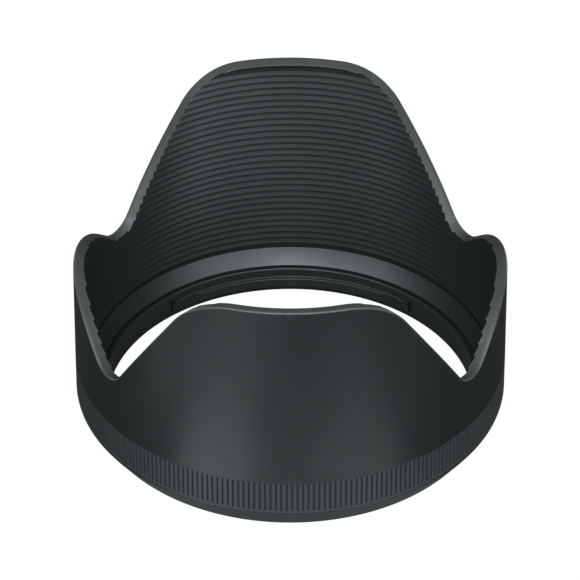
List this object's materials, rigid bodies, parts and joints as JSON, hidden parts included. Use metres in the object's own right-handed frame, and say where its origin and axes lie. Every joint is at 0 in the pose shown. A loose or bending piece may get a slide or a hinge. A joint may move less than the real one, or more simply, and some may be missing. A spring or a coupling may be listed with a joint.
{
  "type": "lens hood",
  "caption": "Petal-shaped bayonet lens hood: black moulded shell with inner light-trap ribs, ribbed grip band and a click-detent mount ring.",
  "frame": {"origin": "centre of the foot's underside, on the optical axis", "axes": "+Z along the optical axis, away from the camera and towards the petals' tips; long petals at +Y and -Y, short petals at +X and -X; the index marks are on the +Y side"},
  "size_m": [0.0856, 0.0856, 0.0542],
  "materials": {
    "shell_plastic": "fine satin moulded black",
    "grip_plastic": "ribbed satin black, slightly softer than the shell",
    "mount_plastic": "satin black, fine grained",
    "nub_plastic": "low-friction black, polished by wear",
    "spring_steel": "bright rolled spring strip",
    "mark_paint": "flat white filled paint"
  },
  "bodies": {
    "hood": {"hood_shell": "shell_plastic", "grip_ring": "grip_plastic", "bayonet_ring": "mount_plastic", "detent_spring_left": "spring_steel", "detent_spring_right": "spring_steel", "index_dot": "mark_paint", "index_bar": "mark_paint"},
    "nub_right": {"detent_nub_right": "nub_plastic"},
    "nub_left": {"detent_nub_left": "nub_plastic"}
  },
  "joints": [
    {"name": "right_detent_press", "type": "slide", "parent": "hood", "child": "nub_right", "axis": [1, 0, 0], "range_m": [0, 0.00045], "stiffness_N_per_m": 1500, "springref_m": -0.0003, "deforming": ["detent_spring_right"]},
    {"name": "left_detent_press", "type": "slide", "parent": "hood", "child": "nub_left", "axis": [-1, 0, 0], "range_m": [0, 0.00045], "stiffness_N_per_m": 1500, "springref_m": -0.0003, "deforming": ["detent_spring_left"]}
  ]
}
